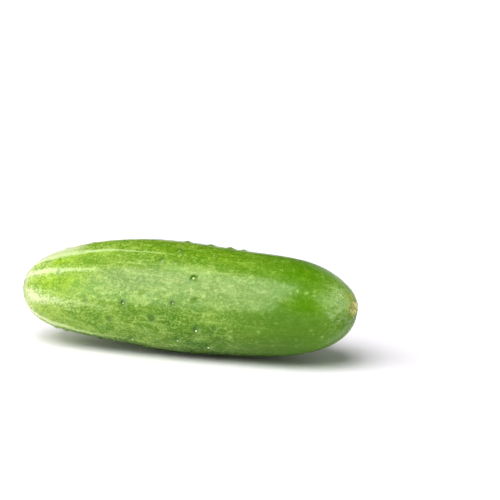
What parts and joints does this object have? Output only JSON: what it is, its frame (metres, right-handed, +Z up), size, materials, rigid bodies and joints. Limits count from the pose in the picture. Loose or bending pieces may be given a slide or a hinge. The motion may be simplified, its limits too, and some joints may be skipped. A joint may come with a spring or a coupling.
{
  "type": "cucumber",
  "caption": "Short thick pickling cucumber, whole, lying on its belly, with low bumps, pale ribs at the blossom end and a dry stem scar.",
  "frame": {"origin": "on the floor, under the middle of the fruit's bounding box", "axes": "+X from the blossom end to the stem end, +Z up, the fruit lying on its belly; its gentle bow turns both ends towards -Y"},
  "size_m": [0.1406, 0.0448, 0.0441],
  "materials": {
    "skin": "satin"
  },
  "bodies": {
    "root": {"cucumber": "skin"}
  },
  "joints": []
}
